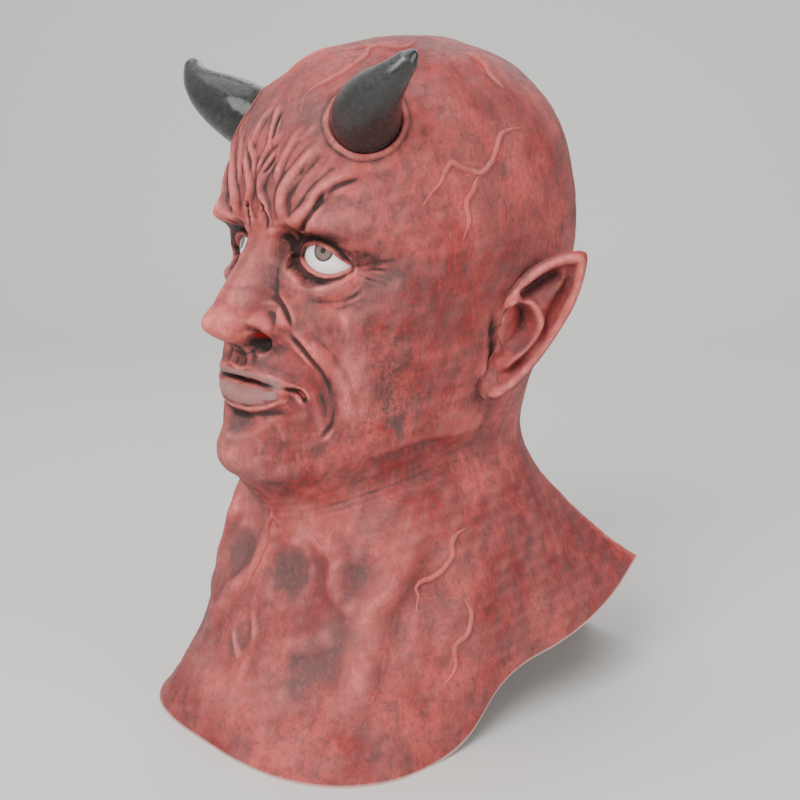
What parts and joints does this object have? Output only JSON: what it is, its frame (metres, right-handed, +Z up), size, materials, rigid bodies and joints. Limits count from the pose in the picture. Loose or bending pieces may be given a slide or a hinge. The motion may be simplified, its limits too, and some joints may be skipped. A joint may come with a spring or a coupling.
{
  "type": "devil mask",
  "caption": "Full-head devil mask of thick latex: bald scowling head with hooked nose, pointed ears, short black horns and glossy eyes on a flared neck bib.",
  "frame": {"origin": "centre of the bounding box, on the ground under the rim of the bib", "axes": "+Z up from the rim to the crown, -Y out of the face, +X to the mask's own left"},
  "size_m": [0.2162, 0.2944, 0.386],
  "materials": {
    "skin": "matt to satin painted latex",
    "horn": "satin black painted resin",
    "eye": "gloss white with a painted iris"
  },
  "bodies": {
    "root": {"mask": "skin", "horn_left": "horn", "horn_right": "horn", "eye_left": "eye", "eye_right": "eye"}
  },
  "joints": []
}
